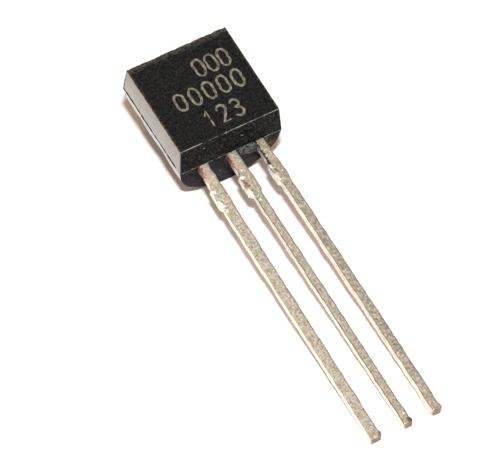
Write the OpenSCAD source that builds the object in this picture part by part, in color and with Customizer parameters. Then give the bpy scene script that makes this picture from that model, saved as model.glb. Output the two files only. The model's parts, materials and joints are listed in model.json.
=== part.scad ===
// Three-lead transistor in a moulded case with one flat face and a round back.
//
// The device's own frame: X runs across the leads, Y runs along them towards the top of the
// case, Z points out of the flat face. The bottom end of the case is at Y = 0, and the mould's
// parting plane, which is also the front of the lead frame, is at Z = 0.
// at_rest() then lays the device on a surface, on its round back and on the tips of its leads.
// All sizes are in millimetres.

/* [Case] */
// Width of the case, which is also the diameter of its round back
case_w = 4.58; // [4.40:0.02:5.20]
// Height of the case along the leads, at the parting plane
case_h = 4.68; // [4.40:0.02:5.30]
// Depth of the flat front half, from the parting plane to the flat face
front_d = 1.26; // [0.90:0.02:1.60]
// How far each flank leans in at the flat face
flank_draft = 0.06; // [0.02:0.01:0.20]
// How far the bottom end leans in at the flat face
front_end_draft = 0.19; // [0.02:0.01:0.30]
// How far the top end leans in at the flat face
front_top_draft = 0.10; // [0.02:0.01:0.30]
// How far each end leans in at the round back
back_end_draft = 0.19; // [0.02:0.01:0.30]

/* [Mould marks] */
// How far the flash stands out around the parting line
flash_out = 0.04; // [0.01:0.01:0.08]
// Thickness of the flash
flash_t = 0.04; // [0.02:0.01:0.08]
// How far the broken gate stub stands out of the bottom end
gate_out = 0.28; // [0.10:0.02:0.40]
// Thickness of the gate stub
gate_t = 0.22; // [0.10:0.02:0.34]
// Space between the gate stub and the lead on each side of it
gate_gap = 0.04; // [0.02:0.01:0.15]
// Width of the thin resin tab beside the base lead
tab_w = 0.19; // [0.10:0.01:0.30]
// How far the resin tab runs down the base lead
tab_out = 0.42; // [0.20:0.02:0.60]
// Thickness of the resin tab
tab_t = 0.12; // [0.06:0.01:0.20]

/* [Leads] */
// Thickness of the sheet that the lead frame is stamped from
frame_t = 0.38; // [0.34:0.01:0.46]
// Spacing of the leads where they leave the case
lead_pitch = 1.27; // [1.15:0.01:1.39]
// Length of the leads outside the case
lead_l = 14.15; // [12.50:0.05:15.00]
// Width of the emitter and base leads
outer_lead_w = 0.41; // [0.36:0.01:0.50]
// Width of the collector lead
centre_lead_w = 0.36; // [0.34:0.01:0.50]
// Width of the collector lead's wide root
centre_root_w = 0.46; // [0.40:0.01:0.54]
// How far the emitter lead's tip is bent outwards
emitter_splay = 0.17; // [0.00:0.01:0.40]
// How far the collector lead's tip is bent towards the emitter's side
collector_splay = 0.03; // [0.00:0.01:0.20]
// How far the base lead's tip is bent outwards
base_splay = 0.02; // [0.00:0.01:0.40]
// Distance from the case to the stubs of the cut tie bar
tie_bar_gap = 1.15; // [0.80:0.05:1.60]
// Length of the tie bar's stubs along a lead
tie_bar_h = 0.85; // [0.50:0.05:1.20]
// How far a stub stands out of the emitter's side of a lead
stub_out = 0.09; // [0.02:0.01:0.15]
// How far a stub stands out of the base's side of a lead
far_stub_out = 0.03; // [0.01:0.01:0.15]

/* [Inside the case] */
// Width of the collector's paddle
paddle_w = 2.00; // [1.60:0.05:2.60]
// Height of the paddle
paddle_h = 1.70; // [1.30:0.05:1.90]
// Distance from the bottom end of the case to the bond posts
post_y = 0.95; // [0.70:0.05:1.10]
// Height of the emitter's and base's bond posts
post_h = 0.70; // [0.50:0.05:0.80]
// How far a bond post stands out past the outer edge of its lead
post_ear = 0.20; // [0.05:0.05:0.30]
// Space between the pieces of the lead frame
frame_gap = 0.26; // [0.20:0.02:0.40]
// Side of the square silicon die
die_w = 0.90; // [0.60:0.05:1.10]
// Thickness of the die
die_t = 0.20; // [0.12:0.02:0.30]
// Thickness of the solder under the die
solder_t = 0.03; // [0.02:0.01:0.06]
// How far the solder runs out around the die
solder_rim = 0.06; // [0.02:0.01:0.12]
// Diameter of the bond wires
wire_d = 0.05; // [0.03:0.01:0.08]
// How far a bond wire bows up above a straight line between its ends
wire_bow = 0.34; // [0.20:0.02:0.50]
// Diameter of the ball bond on the die
ball_d = 0.14; // [0.12:0.01:0.20]
// Diameter of the stitch bond on the post
stitch_d = 0.11; // [0.10:0.01:0.18]
// Metal above and below the wire's end in a bond
bond_skin = 0.01; // [0.01:0.01:0.03]

/* [Hidden] */
$fn = 96;

back_r = case_w / 2;
flat_w = case_w - 2 * flank_draft;

// The leads' middle lines at the case, and the collector lead's half widths
emitter_x = -lead_pitch;
base_x = lead_pitch;
outer_half = outer_lead_w / 2;
root_half = centre_root_w / 2;
tie_bar_end = tie_bar_gap + tie_bar_h;

// The bond posts fill the space between the root of the collector lead and the outer leads
post_near = root_half + frame_gap;
post_far = lead_pitch + outer_half + post_ear;
post_top = post_y + post_h;
paddle_y = post_top + frame_gap;
die_y = paddle_y + paddle_h / 2;
die_top = solder_t + die_t;

// Both ends of a bond wire lie in the middle of its two bonds
bond_h = wire_d + 2 * bond_skin;
pad_x = die_w / 4;
wire_start = [pad_x, die_y, die_top + bond_h / 2];
wire_end = [(post_near + post_far) / 2, post_y + post_h / 2, bond_h / 2];

// The device leans on the bottom edge of its round back and on the back edges of its tips
lean = atan((back_r - frame_t) / (lead_l + back_end_draft));
rest_z = back_r * cos(lean) - back_end_draft * sin(lean);
top_y = max(
    (case_h - back_end_draft) * cos(lean) + back_r * sin(lean),
    (case_h + flash_out) * cos(lean) + flash_t * sin(lean)
);
tip_y = -lead_l * cos(lean);
rest_y = -(top_y + tip_y) / 2;

module at_rest() {
    translate([0, rest_y, rest_z]) rotate([lean, 0, 0]) children();
}

// Section across the leads: a trapezoid in front of the parting plane, half a disc behind it
module case_section() {
    intersection() {
        circle(d = case_w);
        translate([-back_r, -back_r]) square([case_w, back_r]);
    }
    polygon([
        [-back_r, 0], [back_r, 0], [flat_w / 2, front_d], [-flat_w / 2, front_d]
    ]);
}

// Section along the leads: both ends lean in, away from the parting plane
module case_side() {
    polygon([
        [0, 0], [back_end_draft, -back_r], [case_h - back_end_draft, -back_r],
        [case_h, 0], [case_h - front_top_draft, front_d], [front_end_draft, front_d]
    ]);
}

module moulded_block() {
    intersection() {
        translate([0, case_h, 0]) rotate([90, 0, 0]) linear_extrude(case_h) case_section();
        translate([-back_r, 0, 0]) rotate([90, 0, 90]) linear_extrude(case_w) case_side();
    }
}

// The thin fin that the two halves of the mould leave around the case
module flash_fin() {
    translate([-back_r - flash_out, -flash_out, -flash_t])
        cube([case_w + 2 * flash_out, case_h + 2 * flash_out, flash_t]);
}

// What is left of the channel that the resin came in through, between two leads
module gate_stub() {
    near_x = root_half + gate_gap;
    far_x = base_x - outer_half - gate_gap;
    translate([near_x, -gate_out, -gate_t]) cube([far_x - near_x, gate_out + front_end_draft, gate_t]);
}

// A sliver of resin that stays on the outer edge of the base lead
module resin_tab() {
    translate([base_x + outer_half, -tab_out, -tab_t]) cube([tab_w, tab_out + front_end_draft, tab_t]);
}

// Outline of a lead, from inner_y inside the case down to its tip, with the stubs that the cut
// tie bar leaves on its edges. It is root_w wide down to the end of the stubs, then tip_w wide.
module lead_outline(x, inner_y, root_w, tip_w, splay) {
    slope = splay / lead_l;
    bar_x = x + slope * tie_bar_gap;
    end_x = x + slope * tie_bar_end;
    tip_x = x + splay;
    polygon([
        [x - root_w / 2, 0],
        [x - root_w / 2, inner_y],
        [x + root_w / 2, inner_y],
        [x + root_w / 2, 0],
        [bar_x + root_w / 2, -tie_bar_gap],
        [bar_x + root_w / 2 + far_stub_out, -tie_bar_gap],
        [end_x + root_w / 2 + far_stub_out, -tie_bar_end],
        [end_x + tip_w / 2, -tie_bar_end],
        [tip_x + tip_w / 2, -lead_l],
        [tip_x - tip_w / 2, -lead_l],
        [end_x - tip_w / 2, -tie_bar_end],
        [end_x - root_w / 2 - stub_out, -tie_bar_end],
        [bar_x - root_w / 2 - stub_out, -tie_bar_gap],
        [bar_x - root_w / 2, -tie_bar_gap]
    ]);
}

// Stamps an outline out of the lead frame's sheet
module stamp() {
    translate([0, 0, -frame_t]) linear_extrude(frame_t) children();
}

module emitter_form() {
    stamp() lead_outline(emitter_x, post_top, outer_lead_w, outer_lead_w, -emitter_splay);
    stamp() translate([-post_far, post_y]) square([post_far - post_near, post_h]);
}

module collector_form() {
    stamp() lead_outline(0, die_y, centre_root_w, centre_lead_w, -collector_splay);
    stamp() translate([-paddle_w / 2, paddle_y]) square([paddle_w, paddle_h]);
}

module base_form() {
    stamp() lead_outline(base_x, post_top, outer_lead_w, outer_lead_w, base_splay);
    stamp() translate([post_near, post_y]) square([post_far - post_near, post_h]);
}

module solder_form() {
    solder_w = die_w + 2 * solder_rim;
    translate([-solder_w / 2, die_y - solder_w / 2, 0]) cube([solder_w, solder_w, solder_t]);
}

module die_form() {
    translate([-die_w / 2, die_y - die_w / 2, solder_t]) cube([die_w, die_w, die_t]);
}

// A bond wire on the base's side: one arc of a circle that stands upright over its two bonds
module wire_form() {
    step = wire_end - wire_start;
    run = norm([step.x, step.y]);
    drop = -step.z;
    chord = norm([run, drop]);
    tilt = atan2(drop, run);
    arc_r = (pow(chord / 2, 2) + pow(wire_bow, 2)) / (2 * wire_bow);
    half_turn = asin(chord / 2 / arc_r);
    centre_u = run / 2 - (arc_r - wire_bow) * sin(tilt);
    centre_w = -drop / 2 - (arc_r - wire_bow) * cos(tilt);
    translate(wire_start)
        rotate([0, 0, atan2(step.y, step.x)])
        rotate([90, 0, 0])
        translate([centre_u, centre_w, 0])
        rotate([0, 0, 90 - tilt - half_turn])
        rotate_extrude(angle = 2 * half_turn) translate([arc_r, 0]) circle(d = wire_d);
    translate(wire_start - [0, 0, bond_h / 2]) cylinder(d = ball_d, h = bond_h);
    translate(wire_end - [0, 0, bond_h / 2]) cylinder(d = stitch_d, h = bond_h);
}

// The resin is moulded around everything else, so its pockets have the exact forms of the
// pieces that it holds, and it touches them all over
module epoxy_case() {
    color([0.10, 0.10, 0.11]) at_rest() difference() {
        union() {
            moulded_block();
            flash_fin();
            gate_stub();
            resin_tab();
        }
        emitter_form();
        collector_form();
        base_form();
        solder_form();
        die_form();
        wire_form();
        mirror([1, 0, 0]) wire_form();
    }
}

module emitter_lead() {
    color([0.74, 0.69, 0.60]) at_rest() emitter_form();
}

module collector_lead() {
    color([0.72, 0.67, 0.59]) at_rest() collector_form();
}

module base_lead() {
    color([0.70, 0.65, 0.58]) at_rest() base_form();
}

module silicon_die() {
    color([0.36, 0.38, 0.44]) at_rest() die_form();
}

module die_solder() {
    color([0.62, 0.63, 0.65]) at_rest() solder_form();
}

module emitter_bond_wire() {
    color([0.86, 0.66, 0.30]) at_rest() mirror([1, 0, 0]) wire_form();
}

module base_bond_wire() {
    color([0.86, 0.66, 0.30]) at_rest() wire_form();
}

epoxy_case();
emitter_lead();
collector_lead();
base_lead();
silicon_die();
die_solder();
emitter_bond_wire();
base_bond_wire();
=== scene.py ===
# %% [markdown]
# # A three-lead transistor on a white table
#
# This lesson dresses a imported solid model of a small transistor. The real object is a block of
# black resin, flat in front and round behind, moulded around three leads of tinned copper sheet.
# It is only 19 mm long, so what makes it look real is small: a fine grain, a thin fin of resin at
# the parting line, marks of the punch that cut the leads apart.
#
# The solid model comes in first and is never moved. Every new piece starts from its sizes and its
# resting place. Blender's noise takes its seed from the clock unless it is given one, so it is
# given one: every run chips and dents the same places.

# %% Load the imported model
import json
import math

import bmesh
import bpy
from mathutils import Matrix, Vector, noise


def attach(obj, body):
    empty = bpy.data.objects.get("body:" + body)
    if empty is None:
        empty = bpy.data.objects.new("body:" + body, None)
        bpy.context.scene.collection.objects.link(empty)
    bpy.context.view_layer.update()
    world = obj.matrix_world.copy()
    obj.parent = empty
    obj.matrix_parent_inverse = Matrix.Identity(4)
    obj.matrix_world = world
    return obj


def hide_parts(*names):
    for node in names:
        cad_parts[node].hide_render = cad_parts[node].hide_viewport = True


NOISE_SEED = 1

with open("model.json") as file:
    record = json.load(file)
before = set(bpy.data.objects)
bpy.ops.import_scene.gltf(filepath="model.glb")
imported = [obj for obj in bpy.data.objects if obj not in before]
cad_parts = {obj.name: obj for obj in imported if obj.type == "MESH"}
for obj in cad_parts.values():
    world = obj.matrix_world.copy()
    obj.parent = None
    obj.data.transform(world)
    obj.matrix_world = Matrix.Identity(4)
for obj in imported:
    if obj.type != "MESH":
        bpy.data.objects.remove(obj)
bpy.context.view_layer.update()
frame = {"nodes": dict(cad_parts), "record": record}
nodes = frame["nodes"]
noise.seed_set(NOISE_SEED)
print("CAD nodes:", sorted(nodes))

# %% [markdown]
# ## The device's own frame
#
# The transistor lies on its round back and on its lead tips, so it leans a few degrees. Tilted
# axes are awkward to model along, so the pieces are modelled in the device's own frame, in
# millimetres, and one matrix lays each finished mesh down. A tilted parent would do it too, but
# the objects have to sit untilted at the origin. X runs across the leads, Y along them towards the
# top of the case, Z out of the flat face. The parting plane is at Z = 0 and the bottom end of the
# case at Y = 0.
#
# The lean is the tilt of the flat face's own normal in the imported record. Most sizes are measured
# on the solids, and the few that their boxes don't show are written down.

# %% Find the lean and the device's frame
MM = 0.001
CASE_HEIGHT = 4.68
FLASH_OUT = 0.04
FLANK_DRAFT = 0.06
END_DRAFT = 0.19

flat_front = next(m for m in frame["record"]["mounts"] if m["name"] == "flat_front")
face_normal = Vector(flat_front["axis"])
LEAN = math.atan2(-face_normal.y, face_normal.z)
tilt = Matrix.Rotation(LEAN, 4, "X")


def device_box(node, to_device):
    """Lowest and highest corner of a CAD node in a frame that to_device leads to."""
    corners = [to_device @ v.co for v in nodes[node].data.vertices]
    low = Vector(min(c[i] for c in corners) for i in range(3))
    high = Vector(max(c[i] for c in corners) for i in range(3))
    return low, high


untilted = Matrix.Scale(1 / MM, 4) @ tilt.inverted()
_, case_high = device_box("epoxy_case", untilted)
lead_low, lead_high = device_box("emitter_lead", untilted)
device_zero = Vector((0, case_high.y - CASE_HEIGHT - FLASH_OUT, lead_high.z))
REST = untilted.inverted() @ Matrix.Translation(device_zero)
TO_DEVICE = REST.inverted()

BACK_R = case_high.x - FLASH_OUT
FRONT_DEPTH = case_high.z - device_zero.z
SHEET = lead_high.z - lead_low.z
LEAD_LENGTH = device_zero.y - lead_low.y
print(f"lean {math.degrees(LEAN):.2f} degrees, back radius {BACK_R:.2f} mm")
print(f"front half {FRONT_DEPTH:.2f} mm deep, leads {LEAD_LENGTH:.2f} x {SHEET:.2f} mm")

# %% [markdown]
# ## The camera
#
# The view looks down on the flat face from the lower left, from far away through a long lens, so
# parallel edges stay parallel. An orthographic camera would do that too, but a real one behaves
# better when other views move it. A small roll levels it.

# %% Place the camera
VIEW_AZIMUTH = math.radians(-27.65)
VIEW_ELEVATION = math.radians(50.83)
VIEW_ROLL = math.radians(-2.23)
VIEW_WIDTH = 19.64 * MM
VIEW_DISTANCE = 0.45
AIM = Vector((-0.835, 1.700, 1.000)) * MM


def add_object(name, data):
    """A new object of that data, linked into the scene."""
    added = bpy.data.objects.new(name, data)
    bpy.context.scene.collection.objects.link(added)
    return added


camera_data = bpy.data.cameras.new("camera")
camera = add_object("camera", camera_data)
flat = math.cos(VIEW_ELEVATION)
towards_camera = Vector((math.sin(VIEW_AZIMUTH) * flat, -math.cos(VIEW_AZIMUTH) * flat, 0))
towards_camera.z = math.sin(VIEW_ELEVATION)
camera.rotation_mode = "QUATERNION"
level = towards_camera.to_track_quat("Z", "Y")
camera.rotation_quaternion = level @ Matrix.Rotation(VIEW_ROLL, 4, "Z").to_quaternion()
camera.location = AIM + towards_camera * VIEW_DISTANCE
camera_data.lens = camera_data.sensor_width * VIEW_DISTANCE / VIEW_WIDTH
camera_data.clip_start = VIEW_DISTANCE / 10
camera_data.clip_end = VIEW_DISTANCE * 10
bpy.context.scene.camera = camera
print(f"lens {camera_data.lens:.0f} mm at {VIEW_DISTANCE} m")

# %% [markdown]
# ## Shader maths as plain expressions
#
# Every finish below is made of noise and masks. Wiring Math nodes by hand hides the formula, so a
# small class wraps a socket and turns `a * 2 + b` into the nodes that work it out.

# %% Sockets that can be added and multiplied
class Value:
    """A number that a node tree works out. Arithmetic on it adds Math nodes."""

    def __init__(self, graph, socket):
        self.graph = graph
        self.socket = socket

    def _math(self, operation, *operands, clamp=False):
        settings = {"operation": operation, "use_clamp": clamp}
        return self.graph.node("ShaderNodeMath", settings, dict(enumerate(operands)))

    def __add__(self, other):
        return self._math("ADD", self, other)

    def __radd__(self, other):
        return self._math("ADD", other, self)

    def __sub__(self, other):
        return self._math("SUBTRACT", self, other)

    def __rsub__(self, other):
        return self._math("SUBTRACT", other, self)

    def __mul__(self, other):
        return self._math("MULTIPLY", self, other)

    def __rmul__(self, other):
        return self._math("MULTIPLY", other, self)

    def __pow__(self, other):
        return self._math("POWER", self, other)

    def most(self, other):
        return self._math("MAXIMUM", self, other)

    def clamp(self):
        return self._math("ADD", self, 0.0, clamp=True)

    def above(self, level, gain):
        """0 up to a level, then rising by gain."""
        return (self - level).clamp() * gain

    def band(self, middle, outer, inner):
        """1 within inner of a middle, falling to 0 at outer."""
        rise = self.ramp(middle - outer, middle - inner)
        return rise * self.ramp(middle + outer, middle + inner)

    def ramp(self, start, end):
        """0 at start and beyond it, 1 at end, and a smooth step between them."""
        settings = {"interpolation_type": "SMOOTHSTEP"}
        limits = {"Value": self, "From Min": min(start, end), "From Max": max(start, end)}
        limits["To Min"], limits["To Max"] = (0.0, 1.0) if start < end else (1.0, 0.0)
        return self.graph.node("ShaderNodeMapRange", settings, limits)


# %% [markdown]
# The second class holds the node tree of a material or of the world. It makes any node in one
# call: its type, its settings, then its inputs.

# %% One node tree
class Graph:
    """The emptied node tree of a material or a world."""

    def __init__(self, owner):
        self.owner = owner
        owner.use_nodes = True
        self.tree = owner.node_tree
        self.tree.nodes.clear()

    def node(self, kind, settings=None, inputs=None, output=0):
        """Adds a node, sets its settings, then gives its inputs values or links."""
        node = self.tree.nodes.new(kind)
        for key, value in (settings or {}).items():
            setattr(node, key, value)
        for key, value in (inputs or {}).items():
            self.feed(node.inputs[key], value)
        return Value(self, node.outputs[output]) if node.outputs else None

    def feed(self, target, value):
        """Links a Value to a socket, or sets the socket to a plain number or colour."""
        if isinstance(value, Value):
            self.tree.links.new(value.socket, target)
        else:
            target.default_value = value

    def axes(self, vector):
        """The three numbers of a vector."""
        first = self.node("ShaderNodeSeparateXYZ", {}, {0: vector})
        return [Value(self, socket) for socket in first.socket.node.outputs]

    def vector(self, operation, *operands, output="Vector"):
        settings = {"operation": operation}
        return self.node("ShaderNodeVectorMath", settings, dict(enumerate(operands)), output)

    def blend(self, share, first, second):
        """Mixes two colours."""
        inputs = {"Factor": share, 6: self.colour(first), 7: self.colour(second)}
        return self.node("ShaderNodeMix", {"data_type": "RGBA"}, inputs, output=2)

    def cover(self, base, *layers):
        """Blends colours over a base in turn. Each layer is a mask and a colour."""
        for share, colour in layers:
            base = self.blend(share, base, colour)
        return base

    def colour(self, value):
        """A linked colour as it is, or three plain numbers with the fourth added."""
        return value if isinstance(value, Value) else (*value, 1.0)

    def finish(self, **sockets):
        """Ends the tree in one Principled BSDF and returns the material."""
        inputs = {key.replace("_", " "): self.colour(value) if key == "Base_Color" else value
                  for key, value in sockets.items()}
        shader = self.node("ShaderNodeBsdfPrincipled", {}, inputs)
        self.node("ShaderNodeOutputMaterial", {}, {"Surface": shader})
        return self.owner


# %% [markdown]
# The third class starts a new material. It knows places on the device in millimetres, so any noise
# or mark is put there without unwrapping.

# %% A finish that knows its place on the device
class Finish(Graph):
    """The tree of a new material, with the device's three axes at hand."""

    def __init__(self, name):
        super().__init__(bpy.data.materials.new(name))
        # Object coordinates, turned and scaled into the device's own frame
        mapping = {
            "Vector": self.node("ShaderNodeTexCoord", output="Object"),
            "Location": TO_DEVICE.to_translation(),
            "Rotation": (-LEAN, 0, 0),
            "Scale": (1 / MM, 1 / MM, 1 / MM),
        }
        self.place = self.node("ShaderNodeMapping", {"vector_type": "POINT"}, mapping)
        self.across, self.along, self.out = self.axes(self.place)

    def grain(self, per_mm, detail=2.0, roughness=0.55, output="Fac"):
        """Noise from 0 to 1, mostly near 0.5, with about per_mm lumps in a millimetre."""
        inputs = {"Vector": self.place, "Scale": per_mm, "Detail": detail, "Roughness": roughness}
        return self.node("ShaderNodeTexNoise", {}, inputs, output)

    def near(self, spot, reach):
        """1 within half the reach of a spot, falling to 0 at the reach."""
        return self.vector("DISTANCE", self.place, spot, output="Value").ramp(reach, reach / 2)

    def bump(self, height, depth_mm):
        """A normal from a height between 0 and 1 that stands for depth_mm of relief."""
        return self.node("ShaderNodeBump", {}, {"Height": height, "Distance": depth_mm * MM})


# %% [markdown]
# ## From a bmesh to a piece of the model
#
# Each piece is modelled in the device's frame. One function lays the mesh down with the resting
# matrix, rides it on the model's only body and names its material slot. Smooth shading stops at
# sharp edges, and a Weighted Normal modifier keeps the large flats flat beside their small rounded
# edges.

# %% Lay a finished mesh down as a piece
SHARP = math.radians(40)


def settle(bm, name, materials, node=None):
    """Turns a bmesh in device millimetres into a finished piece in the row's frame."""
    bmesh.ops.recalc_face_normals(bm, faces=bm.faces)
    open_edges = sum(1 for e in bm.edges if not e.is_manifold)
    bm.transform(REST)
    mesh = bpy.data.meshes.new(name)
    bm.to_mesh(mesh)
    bm.free()
    for material in materials:
        mesh.materials.append(material)
    mesh.shade_smooth()
    mesh.set_sharp_from_angle(angle=SHARP)
    piece = add_object(name, mesh)
    piece.modifiers.new("flat_faces", "WEIGHTED_NORMAL").keep_sharp = True
    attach(piece, "root")
    if node:
        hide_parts(node)
    print(f"{name}: {len(mesh.polygons)} faces, {open_edges} open edges")


# %% [markdown]
# ## Black moulded resin
#
# The resin is filled with glass powder and soot. It leaves the mould nearly black, with a matt
# grain on the faces that the mould was etched on, and it is smoother on the flanks and the round
# back, where it slides out of the mould. One flat black would look like a hole, so the black is
# mottled: pale and cool lumps a few hundredths of a millimetre wide. The bottom end is a deeper
# black with grey specks.

# %% Mottled black
MOTTLE_PER_MM = 7.0
COOL_PER_MM = 9.0
GRAIN_PER_MM = 20.0
RESIN_COOL = (0.009, 0.017, 0.017)
END_SPOT = (0.048, 0.053, 0.051)
END_DEEP = (0.0008, 0.0014, 0.0028)


def mottled_black(graph, mottle, fine, dark, light):
    """Lumps from dark to light and some cool ones, with specks at the bottom end."""
    end = graph.along.ramp(END_DRAFT, END_DRAFT * 0.9)
    return graph.cover(
        graph.blend((mottle.above(0.42, 1.6) + fine.above(0.46, 3.4)).clamp(), dark, light),
        (graph.grain(COOL_PER_MM).above(0.50, 3.4), RESIN_COOL),
        (end * ((mottle + fine) * -6.0 + 6.5).clamp(), END_DEEP),
        (end * (mottle * 3.0 + fine * 4.0 - 3.6).clamp(), END_SPOT),
    )


# %% [markdown]
# Parts like this tumble in a bin, and the left edge of the flat face is rubbed brown. Its top and
# its right edge are a paler grey. Each tint fades away from its edge and is broken up by the grain,
# so each is a ramp times a noise.

# %% Paler and rubbed edges of the flat face
TOP_DRAFT = 0.10
TOP_PALE_REACH = 0.36
SIDE_REACH = 0.12
FRONT_REACH = 0.30
RESIN_WORN = (0.070, 0.050, 0.038)
# Paler grey towards the top and the right edge
RESIN_PALE_EDGE = (0.084, 0.078, 0.070)
TOP_LEVEL = CASE_HEIGHT - TOP_DRAFT
HALF_FLAT = BACK_R - FLANK_DRAFT


def edge_tints(graph, mottle, fine):
    """Layers of paler grey at the top and on the right, and of brown wear on the left."""
    top_edge = graph.along.ramp(TOP_LEVEL - TOP_PALE_REACH, TOP_LEVEL)
    left_edge = graph.across.ramp(SIDE_REACH - HALF_FLAT, -HALF_FLAT)
    right_edge = graph.across.ramp(HALF_FLAT - SIDE_REACH, HALF_FLAT)
    in_front = graph.out.ramp(FRONT_DEPTH - FRONT_REACH, FRONT_DEPTH)
    speckled = (fine * 2.6 + mottle * 1.4 - 1.65).clamp() * 2.8
    # Paler grey towards the top and the right edge of the flat face
    pale_top_and_right = (top_edge * 0.75).most(right_edge * 0.6) * in_front * speckled
    yield pale_top_and_right.clamp(), RESIN_PALE_EDGE
    yield (left_edge * 0.8 * in_front * speckled).clamp(), RESIN_WORN


# %% [markdown]
# Small rounded edges catch the lamp, and that light is painted on as pale lines, a painted
# highlight: on the bottom edge of the flat face and, below it, on the rim of the flash. Both lines
# run across the leads, so a line is all that is near one point of the section. A slow noise breaks
# it up.

# %% Painted highlights on the rims
RIM_HIGHLIGHT_WIDTH = 0.020
BREAKS_PER_MM = 2.2
# The colour of the painted highlight on the rims
RIM_HIGHLIGHT = (0.29, 0.31, 0.27)
# How much of the flash's rim has crumbled away
FLASH_WORN = 0.026


def rim_highlight_line(graph, edge_y, edge_z, turn, start, gain):
    """Painted highlight along an edge across the leads. Its weight grows from start between two
    places.
    """
    off = ((graph.along - edge_y) ** 2.0 + (graph.out - edge_z) ** 2.0) ** 0.5
    line = off.ramp(RIM_HIGHLIGHT_WIDTH * 1.6, RIM_HIGHLIGHT_WIDTH * 0.6)
    return line * (graph.across.ramp(*turn) * gain + start)


def painted_rim_highlights(graph, fine):
    """A layer of painted highlight: pale broken lines on the face's bottom edge and on the flash's
    rim.
    """
    breaks = graph.grain(BREAKS_PER_MM)
    face_rim_highlight = rim_highlight_line(graph, END_DRAFT, FRONT_DEPTH, (1.3, 0.6), 0.6, 0.25)
    flash_rim_highlight = rim_highlight_line(graph, FLASH_WORN - FLASH_OUT, 0.0, (1.2, 1.6), 0.5, 0.35)
    rim_highlights = face_rim_highlight.most(flash_rim_highlight) * (fine * 2.0 + breaks * 3.6 - 2.35).clamp() * 1.6
    yield rim_highlights.clamp(), RIM_HIGHLIGHT


# %% [markdown]
# Seen at a low angle, the smooth sides mirror the pale table like varnish. That is the resin-rich
# skin, made as a coat over the black. It is missing in small dark nicks along the front and the
# top arris. A few grains of pale dust lie on the case.

# %% Resin finishes
NICKS_PER_MM = 5.0
NICK_REACH = 0.09
SKIN_TINT = (0.97, 0.98, 0.90, 1.0)
# The skin's weight starts to grow this far behind the parting plane
SKIN_START = -0.2
RESIN_RELIEF = 0.006
DUST_RADIUS = 0.045
DUST_PALE = (0.36, 0.39, 0.38)
DUST_PLACES = (
    (-1.76, -0.02, 0.02), (-1.19, 0.14, 0.91), (-0.38, 0.10, -1.24),
    (0.52, 0.10, 0.69), (0.74, -0.02, 0.00), (-0.17, 0.20, 1.24),
)


def nicks(graph):
    """1 in the nicks of the front and the top arris, 0 on whole skin."""
    bites = graph.grain(NICKS_PER_MM, detail=3.0)
    front_arris = graph.out.ramp(FRONT_DEPTH - NICK_REACH, FRONT_DEPTH - NICK_REACH / 3)
    end_arris = graph.along.ramp(TOP_LEVEL - NICK_REACH, TOP_LEVEL)
    return (front_arris * bites.ramp(0.48, 0.54)).most(end_arris * bites.ramp(0.40, 0.50))


def resin(name, dark, light, skin, roughness, specular, index):
    """Black resin. skin is the weight of the smooth, resin-rich skin."""
    graph = Finish(name)
    mottle = graph.grain(MOTTLE_PER_MM, detail=3.0)
    fine = graph.grain(GRAIN_PER_MM)
    base = graph.cover(
        mottled_black(graph, mottle, fine, dark, light),
        *edge_tints(graph, mottle, fine),
        # Painted highlights on the rims of the flat face and the flash
        *painted_rim_highlights(graph, fine),
        *((graph.near(spot, DUST_RADIUS) * 0.75, DUST_PALE) for spot in DUST_PLACES),
    )
    nicked = nicks(graph)
    whole = (fine * 0.7 + 0.61).clamp() * (1 - nicked * 0.95)
    return graph.finish(
        Base_Color=base,
        Roughness=roughness + (mottle - 0.5) * 0.2 + nicked * 0.4,
        Specular_IOR_Level=specular,
        IOR=index,
        Coat_Weight=whole * (graph.out.ramp(SKIN_START, FRONT_DEPTH) * 0.15 + 0.85) * skin,
        Coat_Roughness=0.06,
        Coat_IOR=2.02,
        Coat_Tint=SKIN_TINT,
        Normal=graph.bump(fine * 0.6 + mottle * 0.4, RESIN_RELIEF),
    )


MATT_DARK = (0.0036, 0.0040, 0.0044)
MATT_LIGHT = (0.033, 0.033, 0.032)
# The smooth sides are a lighter, greener black than the matt faces: a smoother skin, and painted
# light for the pale table that they mirror.
SMOOTH_DARK_WITH_PAINTED_LIGHT = (0.026, 0.030, 0.022)
SMOOTH_LIGHT_WITH_PAINTED_LIGHT = (0.050, 0.054, 0.038)
matt_resin = resin("matt_resin", MATT_DARK, MATT_LIGHT, 0.0, 0.5, 0.05, 1.5)
smooth_resin = resin("smooth_resin", SMOOTH_DARK_WITH_PAINTED_LIGHT, SMOOTH_LIGHT_WITH_PAINTED_LIGHT, 1.0, 0.22, 0.5, 1.9)

# %% [markdown]
# ## The resin case
#
# The mould's cavity is a half-round trough below the parting plane and a shallow tray above it.
# Both are drafted: their ends lean in away from the parting plane, so that the part falls out.
#
# Small functions cut, round and pull a mesh. The flash and the leads use them too.

# %% Cut a mesh and round its edges
BEVEL_ANGLE = math.radians(25)
CUT_GAP = 1e-5


def cut_through(bm, point, normal, drop=False):
    """Cuts a mesh with a plane. drop takes away what lies past the plane."""
    geometry = bm.verts[:] + bm.edges[:] + bm.faces[:]
    return bmesh.ops.bisect_plane(
        bm, geom=geometry, dist=CUT_GAP, plane_co=point, plane_no=normal, clear_outer=drop
    )["geom_cut"]


def cut_end(bm, point, normal):
    """Cuts away what lies past a plane, and closes the cut with one face."""
    cut = cut_through(bm, point, normal, drop=True)
    rim = [e for e in cut if isinstance(e, bmesh.types.BMEdge)]
    bmesh.ops.edgenet_fill(bm, edges=rim)


def cut_lengths(bm, direction, start, end, step):
    """Cuts a mesh into equal lengths of about step between start and end."""
    count = round((end - start) / step)
    for number in range(1, count):
        place = Vector(direction) * (start + (end - start) * number / count)
        cut_through(bm, place, direction)


def bevel(bm, geometry, radius, segments=3, affect="EDGES"):
    bmesh.ops.bevel(
        bm, geom=geometry, offset=radius, offset_type="OFFSET", segments=segments,
        profile=0.5, affect=affect, material=-1, clamp_overlap=True,
    )


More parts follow.
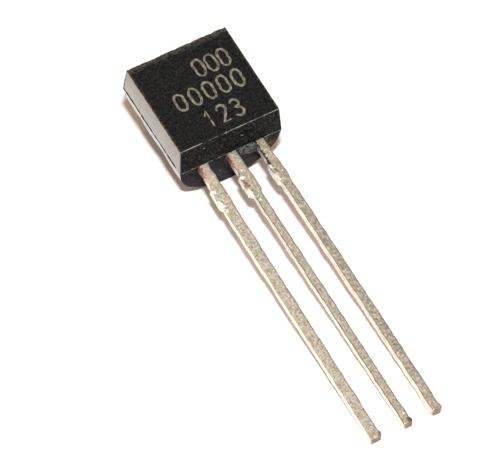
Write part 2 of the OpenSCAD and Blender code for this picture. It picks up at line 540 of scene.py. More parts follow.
def pull(bm, faces, move):
    """Pulls flat faces out into a solid."""
    pulled = bmesh.ops.extrude_face_region(bm, geom=faces)
    moved = [v for v in pulled["geom"] if isinstance(v, bmesh.types.BMVert)]
    bmesh.ops.translate(bm, verts=moved, vec=move)


# %% [markdown]
# The case could be cut out of a block with booleans. A cleaner mesh comes from the section: one
# point is spun half a turn for the round back, two more points make the tray, and the closed
# outline is pulled out along the leads.

# %% Pull the section out into a block
BACK_STEPS = 64


def block_of_section():
    """The case with square ends: its section pulled out to its full height."""
    bm = bmesh.new()
    first = bm.verts.new((-BACK_R, 0, 0))
    back = bmesh.ops.spin(
        bm, geom=[first], cent=(0, 0, 0), axis=(0, -1, 0), angle=math.pi, steps=BACK_STEPS
    )
    corner = next(v for v in back["geom_last"] if isinstance(v, bmesh.types.BMVert))
    for across in (HALF_FLAT, -HALF_FLAT):
        corner = bmesh.ops.extrude_vert_indiv(bm, verts=[corner])["verts"][0]
        corner.co = (across, 0, FRONT_DEPTH)
    bm.edges.new((corner, first))
    section = bmesh.ops.contextual_create(bm, geom=bm.edges[:])["faces"]
    pull(bm, section, (0, CASE_HEIGHT, 0))
    bmesh.ops.recalc_face_normals(bm, faces=bm.faces)
    return bm


# %% [markdown]
# Tumbling has chipped the edges, most of all at the top end. The block is cut into short lengths
# both ways, and its vertices on the edges sink in by a seeded noise, while the flats stay flat.
# The round back has shrunk unevenly: a slower noise pulls it in, and fades out towards the parting
# plane so that the flash still fits.

# %% Chip the edges and let the back shrink
EDGE_TURN = math.radians(12)
EDGE_ROUND = 0.025
CHIP = 0.060
CHIPS_PER_MM = 5.5
# Share of a chip's depth on the edges away from the top end
LESS_CHIPPED = 0.21
FLASH_THICK = 0.04
BACK_WAVE = 0.030
BACK_WAVES_PER_MM = 1.6
# The wave grows to its full depth over this distance behind the flash
BACK_WAVE_FADE = 0.25


def chip_edges(bm):
    """Sinks the vertices on edges into the block, more at the top end than elsewhere."""
    bm.normal_update()
    for vert in bm.verts:
        turns = [e.calc_face_angle(0) for e in vert.link_edges]
        if max(turns) < EDGE_TURN:
            continue
        depth = max(0.0, noise.noise(vert.co * CHIPS_PER_MM)) * CHIP
        if vert.co.y < CASE_HEIGHT - END_DRAFT - EDGE_ROUND:
            depth *= LESS_CHIPPED
        vert.co -= vert.normal * depth


def wave_back(bm):
    """Lets the round back shrink unevenly, below the parting plane only."""
    for vert in bm.verts:
        deep = min(1.0, max(0.0, -vert.co.z - FLASH_THICK) / BACK_WAVE_FADE)
        shrink = 0.5 + noise.noise(vert.co * BACK_WAVES_PER_MM)
        centre = Vector((0, vert.co.y, 0))
        vert.co += (centre - vert.co).normalized() * max(0.0, shrink) * BACK_WAVE * deep


# %% [markdown]
# Now the case itself. Four cuts lean the ends of the block, and a bevel rounds its sharp edges.
# The flat face and both ends are matt, and all that slid out of the mould is smooth.

# %% Model the case
CASE_CUT = 0.09
FRONT_RISES = (END_DRAFT / FRONT_DEPTH, TOP_DRAFT / FRONT_DEPTH)
BACK_RISES = (-END_DRAFT / BACK_R,) * 2


def model_case():
    bm = block_of_section()
    top = Vector((0, CASE_HEIGHT, 0))
    for bottom_rise, top_rise in (FRONT_RISES, BACK_RISES):
        cut_end(bm, Vector(), Vector((0, -1, bottom_rise)).normalized())
        cut_end(bm, top, Vector((0, 1, top_rise)).normalized())
    bmesh.ops.recalc_face_normals(bm, faces=bm.faces)
    bevel(bm, [e for e in bm.edges if e.calc_face_angle(0) > BEVEL_ANGLE], EDGE_ROUND)
    cut_lengths(bm, (0, 1, 0), 0, CASE_HEIGHT, CASE_CUT)
    cut_lengths(bm, (1, 0, 0), -BACK_R, BACK_R, CASE_CUT)
    chip_edges(bm)
    wave_back(bm)
    for face in bm.faces:
        face.material_index = int(abs(face.normal.y) < 0.5 and face.normal.z < 0.5)
    return bm


settle(model_case(), "case_block", [matt_resin, smooth_resin], "epoxy_case")

# %% [markdown]
# ## What the mould leaves behind
#
# Resin creeps between the two halves of the mould and sets as a paper-thin fin: the flash. On the
# flanks its top shows as one dark line, because it faces the dark room while the flank mirrors the
# table. A ring is all that shows, so it is one plate, inset, emptied and given a thickness. Flash
# breaks off in crumbs, so noise bites into its outer rim, deepest towards the ends of the flanks.

# %% Model the flash
FLASH_ROOT = 0.30
FLASH_CORNER = 0.12
FLASH_CRUMB = 0.020
FLASH_TAPER = 0.010
CRUMBS_PER_MM = 5.0


def crumble(vert):
    """Moves a vertex of the flash's rim inwards, by a seeded noise."""
    on_flank = abs(vert.co.x) > BACK_R
    inwards = Vector((-vert.co.x, 0, 0)) if on_flank else Vector()
    if vert.co.y < 0 or vert.co.y > CASE_HEIGHT:
        inwards += Vector((0, CASE_HEIGHT / 2 - vert.co.y, 0))
    if inwards.length > 0:
        to_end = abs(vert.co.y / CASE_HEIGHT - 0.5) * 2 if on_flank else 0.0
        bite = FLASH_WORN + noise.noise(vert.co * CRUMBS_PER_MM) * FLASH_CRUMB
        bite += FLASH_TAPER * min(1.0, to_end) ** 4
        vert.co += inwards.normalized() * bite


def model_flash():
    bm = bmesh.new()
    bmesh.ops.create_grid(bm, x_segments=1, y_segments=1, size=0.5)
    width = 2 * (BACK_R + FLASH_OUT)
    height = CASE_HEIGHT + 2 * FLASH_OUT
    bmesh.ops.scale(bm, verts=bm.verts, vec=(width, height, 1))
    bmesh.ops.translate(bm, verts=bm.verts, vec=(0, CASE_HEIGHT / 2, 0))
    bevel(bm, bm.verts[:], FLASH_CORNER, segments=5, affect="VERTICES")
    middle = bm.faces[:]
    bmesh.ops.inset_individual(bm, faces=middle, thickness=FLASH_ROOT)
    bmesh.ops.delete(bm, geom=middle, context="FACES")
    pull(bm, bm.faces[:], (0, 0, -FLASH_THICK))
    cut_lengths(bm, (0, 1, 0), -FLASH_OUT, CASE_HEIGHT + FLASH_OUT, CASE_CUT)
    cut_lengths(bm, (1, 0, 0), -width / 2, width / 2, CASE_CUT)
    for vert in bm.verts:
        crumble(vert)
    return bm


settle(model_flash(), "parting_flash", [matt_resin], "epoxy_case")

# %% [markdown]
# ## Broken resin
#
# The gate is where the resin ran in. Its broken stub is a rough grey lump between the second and
# the third lead. A small brown tab of resin also crept along the third lead. Both are boxes cut
# fine and shaken by a rough noise, and their root ends stay put inside the case. A broken face is
# paler than a moulded one, because its glass powder lies bare, but only in lumps: the hollows
# between them stay black.

# %% Model the gate stub and the resin tab
def model_lump(low, high, cuts, rough, lumps_per_mm, slant):
    """A broken lump of resin between two corners. Its free end slants by slant across it."""
    bm = bmesh.new()
    bmesh.ops.create_cube(bm, size=1.0)
    size = Vector(high) - Vector(low)
    bmesh.ops.scale(bm, verts=bm.verts, vec=size)
    bmesh.ops.translate(bm, verts=bm.verts, vec=(Vector(low) + Vector(high)) / 2)
    bmesh.ops.subdivide_edges(bm, edges=bm.edges[:], cuts=cuts, use_grid_fill=True)
    for vert in bm.verts:
        free = min(1.0, max(0.0, (high[1] - vert.co.y) / size.y) * 2)
        lean = (vert.co.x - low[0]) / size.x - 0.5
        shake = noise.turbulence_vector(vert.co * lumps_per_mm, 3, False) * rough
        vert.co += (shake + Vector((0, -slant * lean, 0))) * free
    return bm


def broken_resin(name, dark, light, hollow):
    """Lumps of bare powder with black hollows. A higher hollow leaves fewer lumps."""
    graph = Finish(name)
    lumps = graph.grain(7.0, detail=4.0)
    powder = graph.grain(18.0)
    bare = (lumps * 2.6 + powder * 1.6 - hollow).clamp()
    base = graph.blend(bare, dark, light)
    relief = lumps * 0.7 + powder * 0.3
    return graph.finish(
        Base_Color=base, Roughness=0.75, Specular_IOR_Level=0.2, Normal=graph.bump(relief, 0.05)
    )


GATE_LOW = (0.31, -0.26, -0.21)
GATE_HIGH = (1.02, 0.06, -0.02)
TAB_LOW = (1.475, -0.39, -0.12)
TAB_HIGH = (1.665, 0.06, -0.01)
gate_finish = broken_resin("broken_resin", (0.008, 0.010, 0.010), (0.19, 0.205, 0.205), 1.78)
tab_finish = broken_resin("crept_resin", (0.012, 0.010, 0.006), (0.13, 0.11, 0.075), 1.85)
gate_mesh = model_lump(GATE_LOW, GATE_HIGH, 11, 0.055, 5.0, 0.10)
tab_mesh = model_lump(TAB_LOW, TAB_HIGH, 7, 0.030, 8.0, 0.0)
settle(gate_mesh, "gate_stub", [gate_finish], "epoxy_case")
settle(tab_mesh, "resin_tab", [tab_finish], "epoxy_case")

# %% [markdown]
# ## Marking
#
# Three rows of plain figures are marked on the flat face in pale tan ink: noughts in the first two
# rows, and the numbers of the three leads in the last.
#
# Each figure is one stroke of a narrow pen: a curve through a few smooth points and corners, round
# in section, made a mesh and pressed flat into a film of ink.

# %% Draw the figures
FIGURE_HEIGHT = 0.80
FIGURE_WIDTH = 0.37
PEN = 0.102
PEN_END = 0.7
INK = 0.004
WOBBLE = 0.034
WOBBLES_PER_MM = 5.0

# Each point is (across, up, is a corner), in shares of the figure's width and height.
FIGURES = {
    "0": [(0, 1, 0), (-0.42, 0.86, 0), (-0.5, 0.5, 0), (-0.42, 0.14, 0),
          (0, 0, 0), (0.42, 0.14, 0), (0.5, 0.5, 0), (0.42, 0.86, 0)],
    "1": [(-0.36, 0.74, 1), (0.06, 1, 1), (0.06, 0, 1)],
    "2": [(-0.46, 0.76, 0), (-0.3, 0.95, 0), (0.04, 1, 0), (0.42, 0.86, 0),
          (0.4, 0.6, 0), (-0.46, 0, 1), (0.48, 0, 1)],
    "3": [(-0.44, 0.86, 0), (-0.1, 1, 0), (0.38, 0.9, 0), (0.36, 0.62, 0), (-0.08, 0.53, 1),
          (0.42, 0.4, 0), (0.46, 0.14, 0), (0.02, 0, 0), (-0.46, 0.14, 0)],
}
CLOSED = "0"

# Each row is its figures, the middle of its first figure, the pitch and the foot of its figures.
ROWS = {
    "first": ("000", 0.37, 0.55, 2.95),
    "middle": ("00000", -1.07, 0.64, 1.84),
    "last": ("123", -0.44, 0.61, 0.64),
}


def draw_figure(curve, figure, middle, foot):
    """Adds one figure to a curve as a stroke."""
    points = FIGURES[figure]
    stroke = curve.splines.new("BEZIER")
    stroke.bezier_points.add(len(points) - 1)
    stroke.use_cyclic_u = figure in CLOSED
    for point, (across, up, corner) in zip(stroke.bezier_points, points):
        point.co = (middle + across * FIGURE_WIDTH, foot + up * FIGURE_HEIGHT, 0)
        point.handle_left_type = point.handle_right_type = "VECTOR" if corner else "AUTO"
    if not stroke.use_cyclic_u:
        for end in (0, -1):
            stroke.bezier_points[end].radius = PEN_END


def model_row(name):
    figures, start, pitch, foot = ROWS[name]
    curve = bpy.data.curves.new(name, "CURVE")
    curve.dimensions = "3D"
    curve.resolution_u = 8
    curve.bevel_depth = PEN / 2
    curve.bevel_resolution = 2
    curve.use_fill_caps = True
    for place, figure in enumerate(figures):
        draw_figure(curve, figure, start + place * pitch, foot)
    holder = bpy.data.objects.new(name, curve)
    mesh = bpy.data.meshes.new_from_object(holder)
    bm = bmesh.new()
    bm.from_mesh(mesh)
    bpy.data.objects.remove(holder)
    bpy.data.curves.remove(curve)
    bpy.data.meshes.remove(mesh)
    bmesh.ops.remove_doubles(bm, verts=bm.verts, dist=1e-5)
    for vert in bm.verts:
        shake = noise.noise_vector(vert.co * WOBBLES_PER_MM) * WOBBLE
        vert.co += Vector((shake.x, shake.y, 0))
        vert.co.z = FRONT_DEPTH + vert.co.z * INK / PEN
    return bm


# %% [markdown]
# The ink is thin and patchy: the black shows through where the pen was dry.

# %% Ink finish
INK_DARK = (0.178, 0.170, 0.125)
INK_PALE = (0.245, 0.238, 0.185)
INK_DRY = (0.050, 0.046, 0.034)


def ink(name):
    graph = Finish(name)
    patches = graph.grain(5.0)
    powder = graph.grain(13.0)
    dry = powder.ramp(0.50, 0.68) * 0.75 + patches.ramp(0.52, 0.36) * 0.35
    base = graph.blend(patches.ramp(0.35, 0.65), INK_DARK, INK_PALE)
    return graph.finish(
        Base_Color=graph.blend(dry.clamp(), base, INK_DRY),
        Roughness=0.7,
        Specular_IOR_Level=0.2,
        Normal=graph.bump(powder, 0.01),
    )


tan_ink = ink("tan_ink")
for row_name in ROWS:
    settle(model_row(row_name), f"marking_{row_name}_row", [tan_ink])

# %% [markdown]
# ## Tinned leads
#
# The three leads are stamped out of copper sheet and dipped in tin. Their finish has to tell the
# front from the flanks and the tips, but modelling shakes the surface. So each vertex keeps its
# unshaken place in an attribute, as its distance from the lead's right edge, its place along the
# lead and its place outwards.

# %% Places and noises on the leads
UNSHAKEN = "unshaken"
LUMPS_PER_MM = 5.5
SPECKS_PER_MM = 12.0
STRAYS_PER_MM = 8.0
STRAY = 0.12


class LeadFinish(Finish):
    """A finish for the leads, with the masks and noises that its parts share."""

    def __init__(self, name):
        super().__init__(name)
        unshaken = self.node("ShaderNodeAttribute", {"attribute_name": UNSHAKEN}, output="Vector")
        self.off_right, self.plain_along, self.plain_out = self.axes(unshaken)
        self.front = self.plain_out.ramp(-0.055, -0.030)
        self.lump = self.grain(LUMPS_PER_MM)
        self.speck = self.grain(SPECKS_PER_MM, detail=1.0)
        # The place moved a little by noise, which turns round spots into ragged ones
        cloud = self.grain(STRAYS_PER_MM, roughness=0.5, output="Color")
        moved = self.vector("MULTIPLY_ADD", cloud, (2 * STRAY, 2 * STRAY, 2 * STRAY), self.place)
        self.ragged = self.vector("SUBTRACT", moved, (STRAY, STRAY, STRAY))
        self.ragged_across = self.axes(self.ragged)[0]

    def streak(self, start, end, reach):
        """1 near the straight line from start to end, falling to 0 at the reach."""
        line = Vector(end) - Vector(start)
        gone = self.vector("SUBTRACT", self.ragged, start)
        along = line / line.length_squared
        share = self.vector("DOT_PRODUCT", gone, along, output="Value").clamp()
        scaled = {0: line, "Scale": share}
        nearest = self.node("ShaderNodeVectorMath", {"operation": "SCALE"}, scaled)
        return self.vector("DISTANCE", gone, nearest, output="Value").ramp(reach, reach / 2)

    def any_streak(self, streaks):
        found = self.streak(*streaks[0])
        for streak in streaks[1:]:
            found = found.most(self.streak(*streak))
        return found


# %% [markdown]
# The tin sets as a dull, cloudy skin: silver, khaki, green or faintly pink, with dull lumps and a
# few smoother grains that get a painted glint, and yellowish near the case. The second and the
# third lead are a little darker, and their flanks are painted paler towards the case as painted
# light. The rounded arrises and the right edges get painted shade, most of all on the first lead.

# %% Cloudy tin
CLOUDS_PER_MM = 2.2
HUES_PER_MM = 3.4
TIN_SILVER = (0.78, 0.83, 0.80)
TIN_KHAKI = (0.70, 0.73, 0.58)
TIN_PINK = (0.85, 0.71, 0.66)
TIN_GREEN = (0.60, 0.75, 0.51)
TIN_ROOT = (0.80, 0.70, 0.50)
DARKER_LEAD = (0.49, 0.48, 0.38)
TIN_DULL = (0.25, 0.248, 0.20)
# The colour of painted glints
TIN_GLINT = (1.0, 1.0, 0.94)
TIN_SIDE = (0.86, 0.83, 0.71)
# Painted light on the flanks of the second and the third lead
TIN_SIDE_PAINTED_LIGHT = (1.0, 0.98, 0.89)


def cloudy_tin(graph, root, dull, glint_grains):
    cloud = graph.grain(CLOUDS_PER_MM)
    hue = graph.grain(HUES_PER_MM)
    past_first = graph.across.ramp(-0.9, -0.5)
    past_second = graph.across.ramp(0.5, 0.9)
    front = graph.cover(
        graph.blend(cloud.ramp(0.36, 0.64), TIN_SILVER, TIN_KHAKI),
        (hue.ramp(0.51, 0.64) * 0.6, TIN_PINK),
        (hue.ramp(0.49, 0.36) * 0.6, TIN_GREEN),
        (root * 0.5, TIN_ROOT),
        (past_first * 0.32 + past_second * 0.14, DARKER_LEAD),
        (dull, TIN_DULL),
        # Painted glints on the smoother grains
        (glint_grains * 0.9, TIN_GLINT),
    )
    # Painted light: the flanks of the second and the third lead turn paler towards the case
    flank = graph.blend(past_first * graph.along.ramp(-12.0, -7.0), TIN_SIDE, TIN_SIDE_PAINTED_LIGHT)
    return graph.blend(graph.front, graph.blend(dull * 0.25, flank, TIN_DULL), front)


def painted_arris_shade(graph):
    """1 where shade is painted: on the rounded arrises and along the right edges."""
    arris = graph.plain_out.ramp(-0.058, -0.040) * graph.plain_out.ramp(-0.001, -0.010)
    arris = arris * (graph.across.ramp(0.6, -0.9) * 0.7 + 0.3)
    return arris.most(graph.off_right.ramp(0.10, 0.02) * graph.front * 0.55)


# %% [markdown]
# The shears left their marks where they cut the tie bars between the leads: brown dents, and a
# brown burr at each tip. Painted glints, as white streaks, lie on the cut places and near the tips.
# Each mark is a short straight line with a reach, and the strayed place makes its rim ragged.

# %% Marks of the shears
# Painted glints: the two ends of each streak, and its reach.
GLINT_STREAKS = (
    ((-1.64, -1.24, -0.02), (-1.5, -1.36, 0), 0.09),
    ((-1.62, -1.86, 0), (-1.5, -2.1, 0), 0.1),
    ((-1.52, -2.2, 0), (-1.5, -2.36, 0), 0.06),
    ((-0.28, -1.24, 0), (-0.12, -1.28, 0), 0.07),
    ((-0.36, -1.36, -0.02), (-0.4, -1.74, -0.02), 0.08),
    ((-0.32, -1.84, 0), (-0.28, -2.08, 0), 0.11),
    ((1.02, -1.3, 0), (1.1, -1.42, 0), 0.08),
    ((0.98, -1.78, 0), (1.06, -2.02, 0), 0.12),
    ((-0.07, -2.48, 0), (-0.06, -2.5, 0), 0.06),
    ((-0.08, -0.93, 0), (-0.07, -0.95, 0), 0.05),
    ((-1.5, -14.09, 0), (-1.43, -14.1, 0), 0.09),
    ((0.0, -13.66, 0), (0.0, -13.7, 0), 0.06),
    ((1.4, -14.03, 0), (1.41, -14.05, 0), 0.06),
)
BROWN_DENTS = (
    ((-0.25, -1.42, 0), (-0.16, -1.72, 0), 0.09),
    ((-0.16, -1.94, 0), (-0.15, -1.98, 0), 0.06),
    ((-1.42, -1.86, 0), (-1.42, -1.92, 0), 0.06),
    ((1.15, -1.4, 0), (1.17, -1.62, 0), 0.06),
    ((1.12, -0.06, 0), (1.14, -0.18, 0), 0.09),
)
BROWN_BURRS = (
    ((-1.2, -14.02, 0), (-1.22, -14.2, 0), 0.15),
    ((0.1, -14.02, 0), (0.12, -14.2, 0), 0.15),
    ((1.53, -14.02, 0), (1.52, -14.2, 0), 0.16),
)

# %% [markdown]
# The dip missed the left of each lead's root. Copper shows there in specks, and deep red in the
# middle. The cut tips are bare and brown, and the tin just above them is a darker pinkish brown. A
# dark, dull line runs down the left arris of the third lead from the case.

# %% Bare copper, dark line and brown tips
COPPER = (0.90, 0.62, 0.50)
COPPER_DEEP = (0.42, 0.17, 0.13)
# Darker, pinkish tin just above the tips
TIP_DARKER = (0.55, 0.42, 0.33)
CUT_BROWN = (0.17, 0.135, 0.105)
DARK_LINE_PLACE = 1.085
DARK_LINE_WIDTH = 0.035
DARK_LINE_LENGTH = 1.28

# The left edge of each bare place, its width and its length down the lead.
BARE_PLACES = ((-1.475, 0.25, 0.95), (-0.23, 0.26, 0.95), (1.065, 0.12, 0.26))


def bare_place(graph, left, width, length):
    """1 on a bare place at the root of a lead."""
    inside = graph.ragged_across.band(left, width, width / 2)
    return inside * graph.along.ramp(-length, -length * 0.45)


def bare_copper(graph):
    patchy = (graph.speck * 4.0 + graph.lump * 2.6 - 2.75).clamp() * 1.6
    rubbed = (graph.speck * 4.0 - graph.lump * 1.5 - 0.75).clamp() * 1.5
    for left, width, length in BARE_PLACES:
        yield (bare_place(graph, left, width, length) * patchy).clamp() * 0.85, COPPER
        deep = bare_place(graph, left, width * 0.45, length * 0.8)
        yield (deep * rubbed).clamp(), COPPER_DEEP


# A dark, dull line down the left arris of the third lead, near the case
def third_lead_dark_line(graph):
    dark_line = graph.ragged_across.band(DARK_LINE_PLACE, DARK_LINE_WIDTH * 1.3, DARK_LINE_WIDTH * 0.7)
    dark_line = dark_line * graph.along.ramp(-DARK_LINE_LENGTH, 0.06 - DARK_LINE_LENGTH)
    return dark_line * graph.out.ramp(-0.10, -0.06)


def brown_tips(graph, tip):
    """Layers of the darker band just above the tips, and of the cut tips with their burrs."""
    # The tin is darker and pinkish just above the tips
    near_tip = graph.plain_along.ramp(0.26 - LEAD_LENGTH, 0.04 - LEAD_LENGTH)
    yield near_tip * (graph.lump * 1.2 + 0.1).clamp() * 0.8, TIP_DARKER
    burr = graph.any_streak(BROWN_BURRS)
    yield (tip + burr).clamp() * (graph.lump * 0.4 + 0.7), CUT_BROWN


# %% [markdown]
# Put together, the finish is metal but for the dark line and the tips, rougher at the roots and on
# the dull lumps, and smoother on the grains with a painted glint.

# %% Tin finish
# The colour of the painted shade on the arrises
ARRIS_SHADE = (0.33, 0.30, 0.24)
DENT_BROWN = (0.22, 0.16, 0.12)
# The colour of the dark line on the third lead
DARK_LINE_COLOUR = (0.020, 0.020, 0.017)
TIN_RELIEF = 0.011


def tin(name):
    graph = LeadFinish(name)
    root = graph.along.ramp(-1.30, -0.80)
    dull = (graph.lump.ramp(0.50, 0.68) * 0.35 + graph.speck.ramp(0.50, 0.62) * 0.55).clamp()
    # Smoother grains that get a painted glint
    glint_grains = graph.speck.ramp(0.48, 0.34) * graph.lump.ramp(0.56, 0.42)
    arris = painted_arris_shade(graph)
    glint_streak = graph.any_streak(GLINT_STREAKS)
    dark_line = third_lead_dark_line(graph)
    tip = graph.plain_along.ramp(0.02 - LEAD_LENGTH, 0.005 - LEAD_LENGTH)
    base = graph.cover(
        cloudy_tin(graph, root, dull, glint_grains),
        # Painted shade on the arrises and the right edges
        (arris * (graph.lump * 0.8 + 0.5).clamp(), ARRIS_SHADE),
        # Painted glints on the cut places and near the tips
        (glint_streak, TIN_GLINT),
        (graph.any_streak(BROWN_DENTS) * 0.8, DENT_BROWN),
        *bare_copper(graph),
        (dark_line, DARK_LINE_COLOUR),
        *brown_tips(graph, tip),
    )
    metal = 0.92 - graph.front * 0.30 - dark_line.most(tip) * 0.55
    return graph.finish(
        Base_Color=base,
        Metallic=metal + arris * 0.1 - glint_streak * 0.3 - root * 0.06,
        Roughness=0.30 - graph.front * 0.06 + dull * 0.1 - glint_grains * 0.08 + root * 0.12,
        Normal=graph.bump(graph.lump * 0.3 + graph.speck * 0.7, TIN_RELIEF),
    )


tinned = tin("tinned_copper")

# %% [markdown]
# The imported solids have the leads' exact outline, but with edges that no dip leaves. So each lead
# is a copy of its solid: the square steps of its tie-bar stubs are eased into slopes, then its
# long edges are found, to be rounded.

# %% Stubs and arrises of a lead
TIE_BAR_TOP = -1.15
TIE_BAR_FOOT = -2.00
STUB_EASE = 0.14
TIN_ROUND = 0.06
TIP_ROUND = 0.05


def ease_stubs(bm):
    """Slopes the steps of the stubs: their inner corners slide away along the lead."""
    for level, slide in ((TIE_BAR_TOP, STUB_EASE), (TIE_BAR_FOOT, -STUB_EASE)):
        ring = [v for v in bm.verts if abs(v.co.y - level) < 0.01]
        middle = sum(v.co.x for v in ring) / len(ring)
        for side in (-1, 1):
            half = [v for v in ring if (v.co.x - middle) * side > 0]
            inner = min(abs(v.co.x - middle) for v in half)
            for vert in half:
                if abs(vert.co.x - middle) < inner + 0.005:
                    vert.co.y += slide


def arrises(bm):
    """A lead's sharp edges outside the case: round its front, round its back and at its tip."""
    edges = []
    for edge in bm.edges:
        first, last = (v.co for v in edge.verts)
        at_tip = max(first.y, last.y) < TIP_ROUND - LEAD_LENGTH
        through = abs(first.z - last.z) > SHEET / 2 and not at_tip
        outside = min(first.y, last.y) < -0.01
        if outside and not through and edge.calc_face_angle(0) > BEVEL_ANGLE:
            edges.append(edge)
    return edges


# %% [markdown]
# The tin runs in slight waves, so two smooth noises shake it, less on the flats. A list of places
# presses in the dents that the shears left beside the stubs, and pulls out a torn burr at each tip.

# %% Shake a lead
WAVE = 0.024
WAVES_PER_MM = 1.7
RIPPLE = 0.016
RIPPLES_PER_MM = 5.0
FLAT_SHARE = 0.35
TORN = 0.020
TORN_LENGTH = 0.14

# Each dent is its middle, its reach and how far its middle is pushed.
DENTS = (
    ((-1.58, -1.98, 0), 0.34, (0.03, 0, -0.03)),
    ((-0.20, -1.58, 0), 0.28, (0, 0, -0.02)),
    ((0.98, -1.86, 0), 0.34, (0.03, 0, -0.03)),
    ((-1.18, -14.04, -0.06), 0.20, (0.05, 0.01, 0.03)),
    ((0.21, -14.04, -0.06), 0.20, (0.05, 0.01, 0.03)),
    ((1.55, -14.04, -0.06), 0.20, (0.045, 0.01, 0.03)),
)


def shake_lead(vert):
    """Moves a vertex by the tin's waves and ripples, the dents, and the tear at the tip."""
    start = vert.co.copy()
    shake = noise.noise_vector(start * WAVES_PER_MM) * WAVE
    shake += noise.noise_vector(start * RIPPLES_PER_MM) * RIPPLE
    shake.z *= FLAT_SHARE
    vert.co += shake
    for middle, reach, push in DENTS:
        away = (start - Vector(middle)).length / reach
        if away < 1:
            vert.co += Vector(push) * (1 - away * away) ** 2
    to_tip = start.y + LEAD_LENGTH
    if to_tip < TORN_LENGTH:
        torn = noise.noise_vector(start * RIPPLES_PER_MM) * TORN
        vert.co += torn * (1 - to_tip / TORN_LENGTH)


# %% [markdown]
# No two leads are quite alike: the first was cut a little wider, and the third is twisted and
# bent. Each form needs the lead's own edges at each short length.

# %% Form a lead
LEAD_CUT = 0.07

# How much wider each lead is on its left, how far it is twisted, and how far its tip is bent.
FORMS = {
    "emitter_lead": (0.06, 0.0, 0.0),
    "collector_lead": (0.0, 0.0, 0.0),
    "base_lead": (0.0, math.radians(8), -0.04),
}
FORM_START = -0.9
FORM_FULL = -2.6


def form_lead(vert, edges, wider, twist, bend):
    """Widens, twists and bends a lead by its own small amounts, from its stubs down."""
    left, right = edges
    share = min(1.0, max(0.0, (FORM_START - vert.co.y) / (FORM_START - FORM_FULL)))
    down = -vert.co.y / LEAD_LENGTH
    to_left = (right - vert.co.x) / (right - left)
    vert.co.x += bend * down ** 2 - wider * to_left * share * (1 - down / 2)
    axis = Vector(((left + right) / 2, vert.co.y, -SHEET / 2))
    turned = Matrix.Rotation(twist * share, 3, "Y") @ (vert.co - axis)
    lift = abs(math.sin(twist)) * (right - left) / 2 * share
    vert.co = axis + turned + Vector((0, 0, lift))


def row_edges(bm):
    """The left and the right edge of a lead at each short length of it."""
    edges = {}
    for vert in bm.verts:
        row = round(vert.co.y / LEAD_CUT)
        left, right = edges.get(row, (vert.co.x, vert.co.x))
        edges[row] = (min(left, vert.co.x), max(right, vert.co.x))
    return edges


# %% [markdown]
# Each copy is merged into clean faces, eased, rounded and cut into short lengths, and its faces
# are cut across as well, to give the noises vertices to move. Near the case nothing moves, so the
# leads still meet the resin.

# %% Model the leads
MERGE_GAP = 0.001
SAME_FACE = math.radians(0.5)
FACE_CUTS = 4
MOVED_BELOW = -0.02


def model_lead(node):
    bm = bmesh.new()
    bm.from_mesh(nodes[node].data)
    bm.transform(TO_DEVICE)
    bmesh.ops.remove_doubles(bm, verts=bm.verts, dist=MERGE_GAP)
    bmesh.ops.dissolve_limit(bm, angle_limit=SAME_FACE, verts=bm.verts, edges=bm.edges)
    ease_stubs(bm)
    bevel(bm, arrises(bm), TIN_ROUND)
    cut_lengths(bm, (0, 1, 0), -LEAD_LENGTH, 0, LEAD_CUT)
    wide = [e for e in bm.edges if e.calc_length() > SHEET / 2]
    wide = [e for e in wide if all(v.co.y < 0.01 for v in e.verts)]
    bmesh.ops.subdivide_edges(bm, edges=wide, cuts=FACE_CUTS, use_grid_fill=True)
    bmesh.ops.triangulate(bm, faces=[f for f in bm.faces if len(f.verts) > 4])
    plain = bm.verts.layers.float_vector.new(UNSHAKEN)
    edges = row_edges(bm)
    for vert in bm.verts:
        left_right = edges[round(vert.co.y / LEAD_CUT)]
        vert[plain] = (left_right[1] - vert.co.x, vert.co.y, vert.co.z)
        if vert.co.y < MOVED_BELOW:
            form_lead(vert, left_right, *FORMS[node])
            shake_lead(vert)
    return bm


for lead in FORMS:
    settle(model_lead(lead), lead.replace("_lead", "_tinned_lead"), [tinned], lead)

# %% [markdown]
# ## Inside the case
#
# The chip, its solder and its two bond wires are sealed in the resin, but they are real parts with
# their own looks. Their solids have the right shape, so they stay, and only their slots get a
# better finish: polished silicon with two metal pads where the wires land, grey wrinkled solder,
# and drawn gold.

# %% Finishes of the inner parts
PAD_PLACES = ((-0.225, 2.76, 0.23), (0.225, 2.76, 0.23))
PAD_REACH = 0.16
SAW_PER_MM = 60.0
SILICON_DARK = (0.10, 0.11, 0.15)
SILICON_PALE = (0.17, 0.19, 0.25)
PAD_METAL = (0.75, 0.74, 0.70)


def silicon(name):
    graph = Finish(name)
    saw = graph.grain(SAW_PER_MM)
    rough_side = graph.out.ramp(0.22, 0.20)
    pads = ((graph.near(spot, PAD_REACH), PAD_METAL) for spot in PAD_PLACES)
    return graph.finish(
        Base_Color=graph.cover(graph.blend(saw, SILICON_DARK, SILICON_PALE), *pads),
        Metallic=0.6,
        Roughness=rough_side * 0.4 + 0.12,
        Normal=graph.bump(saw, 0.001),
    )


def drawn_metal(name, pale, dark, per_mm, relief, roughness):
    """A metal with fine lumps: wrinkled solder or drawn gold."""
    graph = Finish(name)
    lumps = graph.grain(per_mm)
    return graph.finish(
        Base_Color=graph.blend(lumps, pale, dark),
        Metallic=1.0,
        Roughness=lumps * 0.2 + roughness,
        Normal=graph.bump(lumps, relief),
    )


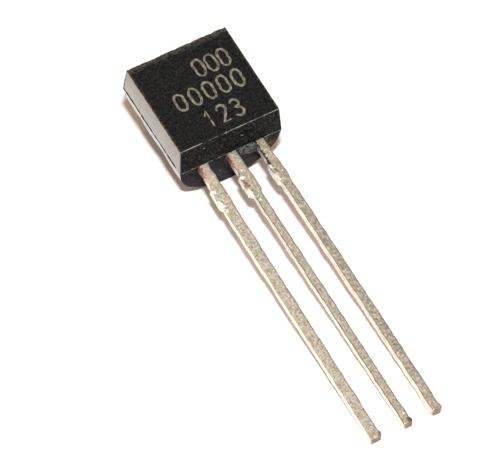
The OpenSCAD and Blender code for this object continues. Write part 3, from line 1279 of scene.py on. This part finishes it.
# Pale and dark colour, lumps in a millimetre, relief and roughness
SOLDER = ((0.66, 0.66, 0.66), (0.42, 0.43, 0.44), 14.0, 0.010, 0.25)
GOLD = ((0.95, 0.72, 0.32), (0.80, 0.55, 0.20), 40.0, 0.002, 0.15)
wire_finish = drawn_metal("drawn_gold", *GOLD)
INNER_FINISHES = {
    "silicon_die": silicon("polished_silicon"),
    "die_solder": drawn_metal("wrinkled_solder", *SOLDER),
    "emitter_bond_wire": wire_finish,
    "base_bond_wire": wire_finish,
}
for node, finish in INNER_FINISHES.items():
    for slot in nodes[node].material_slots:
        slot.material = finish
    print(f"{node} in {finish.name}")

# %% [markdown]
# ## The table
#
# The table is white from its own colour and not from more light, so it keeps the object's shadow.
# It is only staged: it isn't part of the object.

# %% Model the table
TABLE_HALF = 3.0

table_finish = Graph(bpy.data.materials.new("white_table")).finish(
    Base_Color=(1.0, 1.0, 1.0), Roughness=1.0, Specular_IOR_Level=0.0
)
table_mesh = bmesh.new()
bmesh.ops.create_grid(table_mesh, x_segments=1, y_segments=1, size=TABLE_HALF)
table_data = bpy.data.meshes.new("table")
table_mesh.to_mesh(table_data)
table_mesh.free()
table_data.materials.append(table_finish)
table = add_object("table", table_data)

# %% [markdown]
# ## The light
#
# One soft lamp hangs above the lens, about 11 degrees higher than the line of sight, so the
# shadows are thin brown lines along the lower left of the pieces.

# %% Lamp
LAMP_RIGHT = math.radians(0.8)
LAMP_UP = math.radians(11.4)
LAMP_DISTANCE = 0.5
LAMP_WIDE = 0.045
LAMP_TALL = 0.022
LAMP_POWER = 2.5

lamp_data = bpy.data.lights.new("lamp", "AREA")
lamp_data.shape = "ELLIPSE"
lamp_data.size = LAMP_WIDE
lamp_data.size_y = LAMP_TALL
lamp_data.energy = LAMP_POWER
lamp = add_object("lamp", lamp_data)
from_lens = Vector((math.tan(LAMP_RIGHT), math.tan(LAMP_UP), 1)).normalized()
towards_lamp = camera.rotation_quaternion @ from_lens
lamp.location = AIM + towards_lamp * LAMP_DISTANCE
lamp.rotation_mode = "QUATERNION"
lamp.rotation_quaternion = towards_lamp.to_track_quat("Z", "Y")

# %% [markdown]
# The room is dim and warm. It is brightest overhead and dark near the horizon, which draws the
# dark lines along the leads' rounded edges. Just above the table it is white, as a backdrop would
# be, and the camera sees that white wherever the table ends.

# %% Room
ROOM_HIGH = (0.66, 0.475, 0.38)
ROOM_LOW = (0.06, 0.048, 0.04)
BRIGHT_SIDE = Vector((-0.10, -0.12, 1.0)).normalized()
DARK_BELOW = math.sin(math.radians(8))
BACKDROP_TOP = math.sin(math.radians(3))

world = bpy.data.worlds.new("room")
bpy.context.scene.world = world
room = Graph(world)
look = room.node("ShaderNodeTexCoord", output="Generated")
height = room.axes(look)[2]
facing = room.vector("DOT_PRODUCT", look, BRIGHT_SIDE, output="Value")
shade = room.blend(facing.ramp(DARK_BELOW, 1.0), ROOM_LOW, ROOM_HIGH)
dim = room.node("ShaderNodeBackground", {}, {"Color": shade})
white = room.node("ShaderNodeBackground", {}, {"Color": (1.0, 1.0, 1.0, 1.0)})
camera_ray, glossy_ray, glass_ray = (
    room.node("ShaderNodeLightPath", output=f"Is {kind} Ray")
    for kind in ("Camera", "Glossy", "Transmission")
)
backdrop = glossy_ray.most(glass_ray) * height.ramp(BACKDROP_TOP, BACKDROP_TOP / 2)
both = room.node("ShaderNodeMixShader", {}, {0: camera_ray.most(backdrop), 1: dim, 2: white})
room.node("ShaderNodeOutputWorld", {}, {"Surface": both})
bpy.context.scene.view_settings.view_transform = "Standard"
